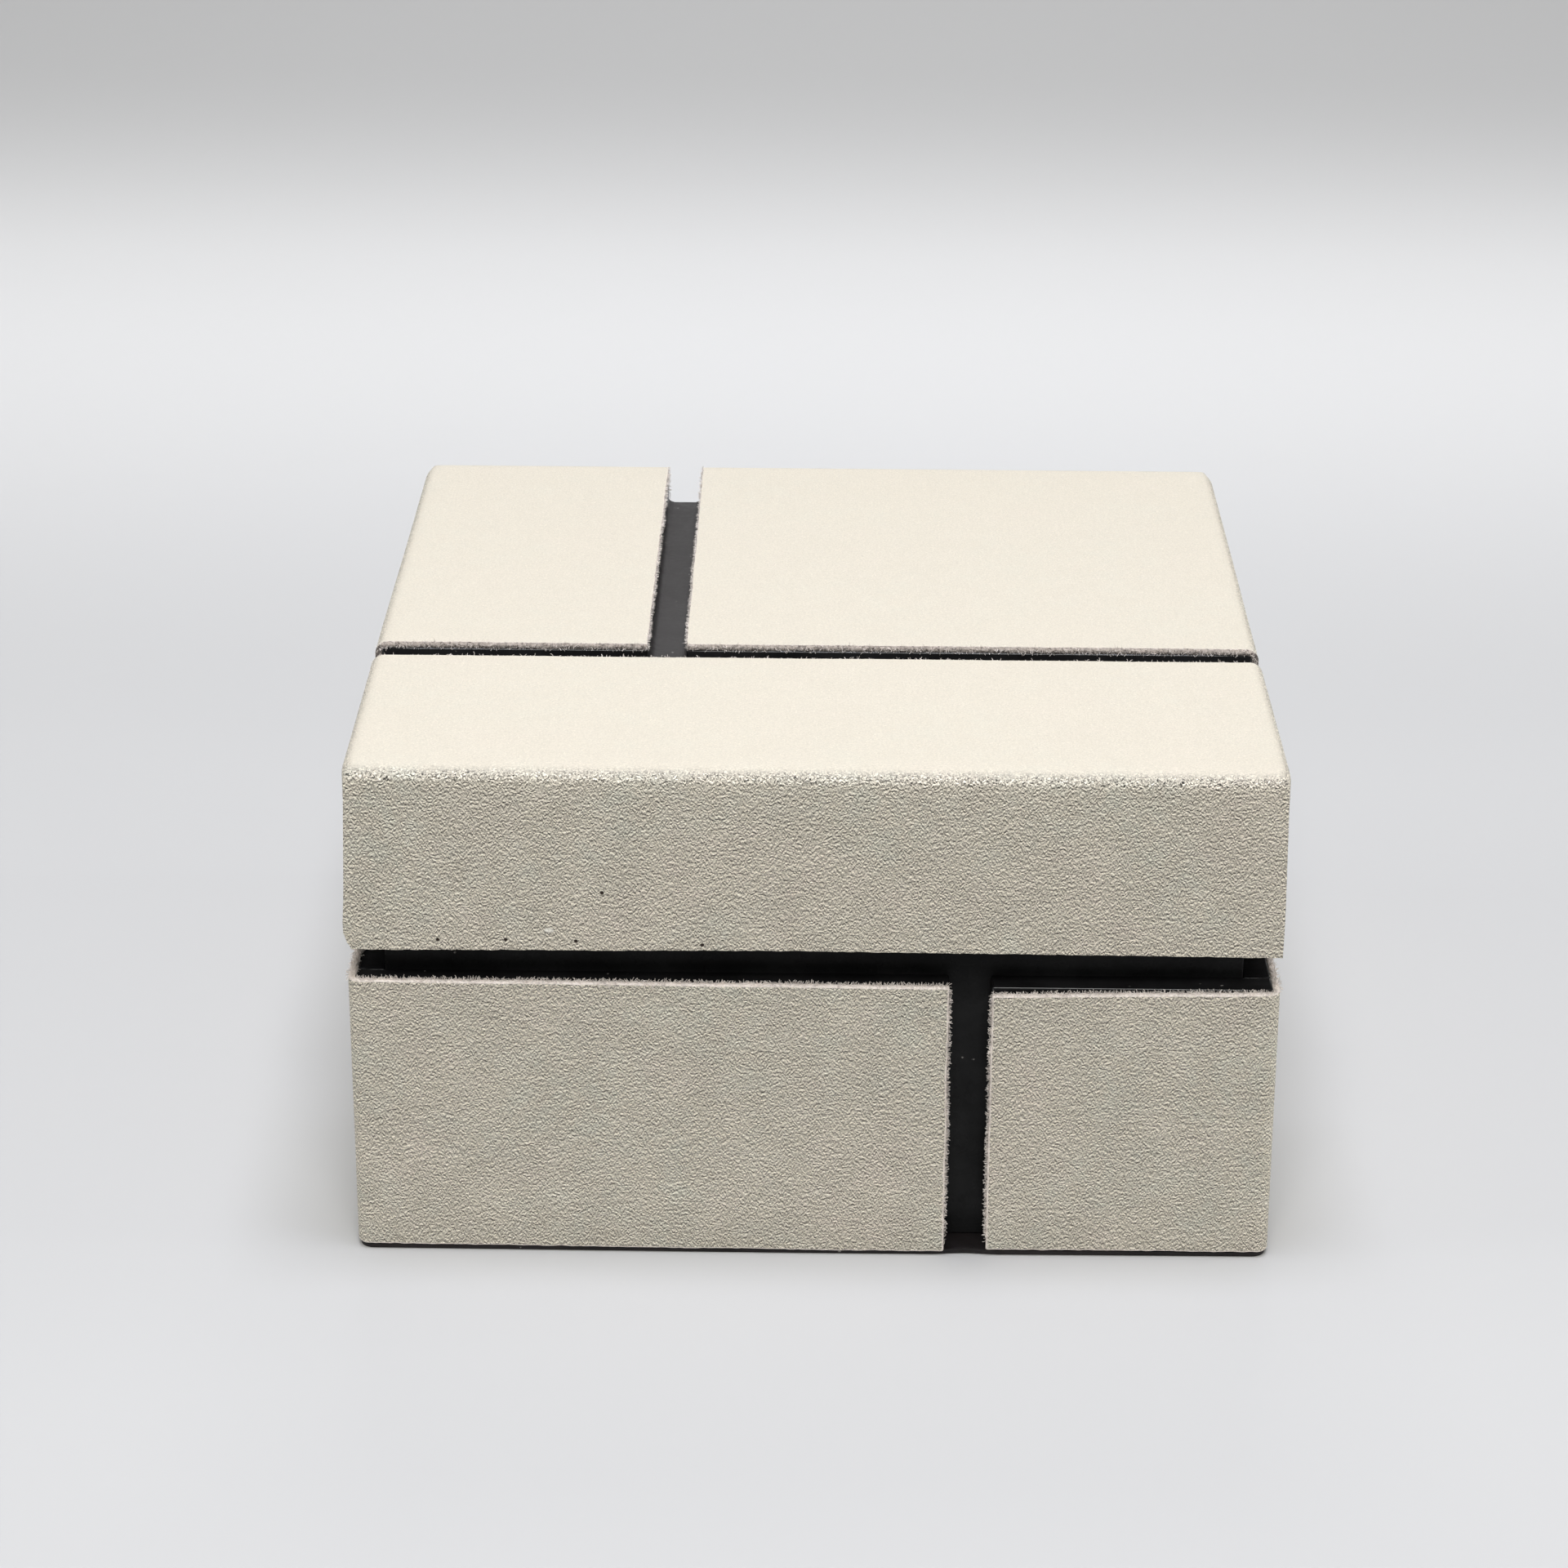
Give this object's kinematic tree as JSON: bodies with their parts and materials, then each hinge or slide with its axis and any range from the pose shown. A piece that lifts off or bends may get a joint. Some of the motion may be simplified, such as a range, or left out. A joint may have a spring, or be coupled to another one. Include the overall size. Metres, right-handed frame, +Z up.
{
  "type": "keepsake box",
  "caption": "Square lidded keepsake box with pale pebbled leather-look panels parted by sunk black channels; the lid lifts straight off.",
  "frame": {"origin": "centre of the underside of the base, on the table", "axes": "+Z up; the front, with the full-width strip of the lid, looks along -Y; +X to the right seen from the front"},
  "size_m": [0.2, 0.2, 0.115],
  "materials": {
    "pale_skin": "warm off-white leather-look covering with a fine pebbled grain, satin",
    "black_paint": "smooth board sprayed satin black",
    "black_paper": "black covering sheet, dull",
    "grey_felt": "short-pile charcoal felt"
  },
  "bodies": {
    "base": {"base_floor": "black_paint", "base_panel_back_left": "black_paint", "base_panel_back_right": "black_paint", "base_panel_front_left": "black_paint", "base_panel_front_right": "black_paint", "base_panel_left": "black_paint", "base_panel_right": "black_paint", "base_sheet": "black_paper", "base_skin_left": "pale_skin", "base_skin_right": "pale_skin", "base_wall_back": "black_paint", "base_wall_front": "black_paint", "base_wall_left": "black_paint", "base_wall_right": "black_paint", "floor_felt": "grey_felt", "liner_back": "black_paint", "liner_felt_back": "grey_felt", "liner_felt_front": "grey_felt", "liner_felt_left": "grey_felt", "liner_felt_right": "grey_felt", "liner_front": "black_paint", "liner_left": "black_paint", "liner_right": "black_paint"},
    "lid": {"lid_board": "black_paint", "lid_felt": "grey_felt", "lid_panel_back_left": "black_paint", "lid_panel_back_right": "black_paint", "lid_panel_front": "black_paint", "lid_panel_left_front": "black_paint", "lid_panel_left_rear": "black_paint", "lid_panel_right_front": "black_paint", "lid_panel_right_rear": "black_paint", "lid_skin_front": "pale_skin", "lid_skin_rear_left": "pale_skin", "lid_skin_rear_right": "pale_skin", "lid_top_panel_front": "black_paint", "lid_top_panel_rear_left": "black_paint", "lid_top_panel_rear_right": "black_paint", "lid_wall_back": "black_paint", "lid_wall_front": "black_paint", "lid_wall_left": "black_paint", "lid_wall_right": "black_paint"}
  },
  "joints": [
    {"name": "lid_lift", "type": "slide", "parent": "base", "child": "lid", "axis": [0, 0, 1], "range_m": [0, 0.12]}
  ]
}
